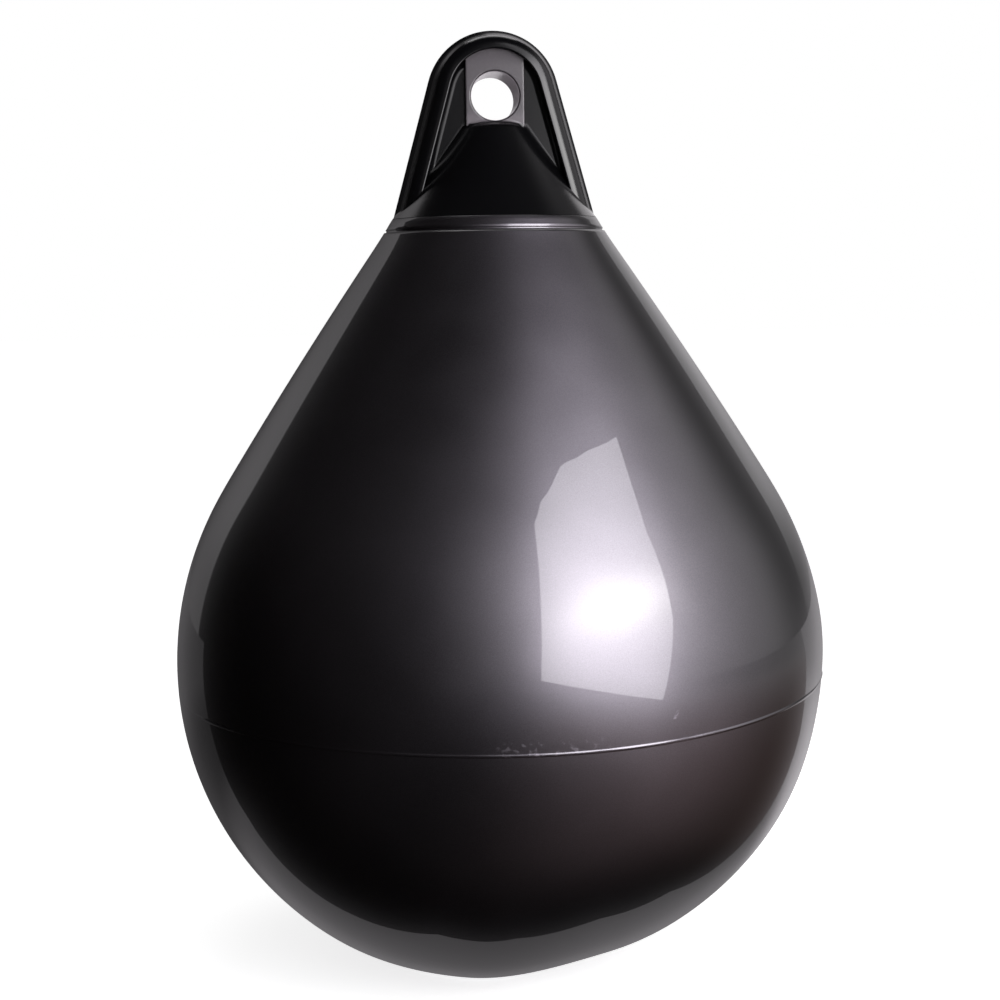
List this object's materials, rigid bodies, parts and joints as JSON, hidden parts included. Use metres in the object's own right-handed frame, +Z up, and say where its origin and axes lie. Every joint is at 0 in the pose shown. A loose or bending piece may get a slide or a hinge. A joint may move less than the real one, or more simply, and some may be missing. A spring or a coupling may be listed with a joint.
{
  "type": "marker buoy",
  "caption": "Teardrop inflatable marker buoy: a hollow vinyl body under a moulded head with a rope eye and an inflation valve.",
  "frame": {"origin": "centre of the flattened base that the buoy stands on", "axes": "+Z up along the buoy's axis to the rope eye, +Y along the rope bore to the side with the valve"},
  "size_m": [0.2999, 0.3, 0.4268],
  "materials": {
    "body_vinyl": "graphite pearl vinyl under a clear gloss",
    "head_vinyl": "glossy black moulded vinyl",
    "valve_plastic": "satin black moulded plastic"
  },
  "bodies": {
    "root": {"body_shell": "body_vinyl", "rope_eye": "head_vinyl", "valve_insert": "valve_plastic", "valve_screw": "valve_plastic"}
  },
  "joints": []
}
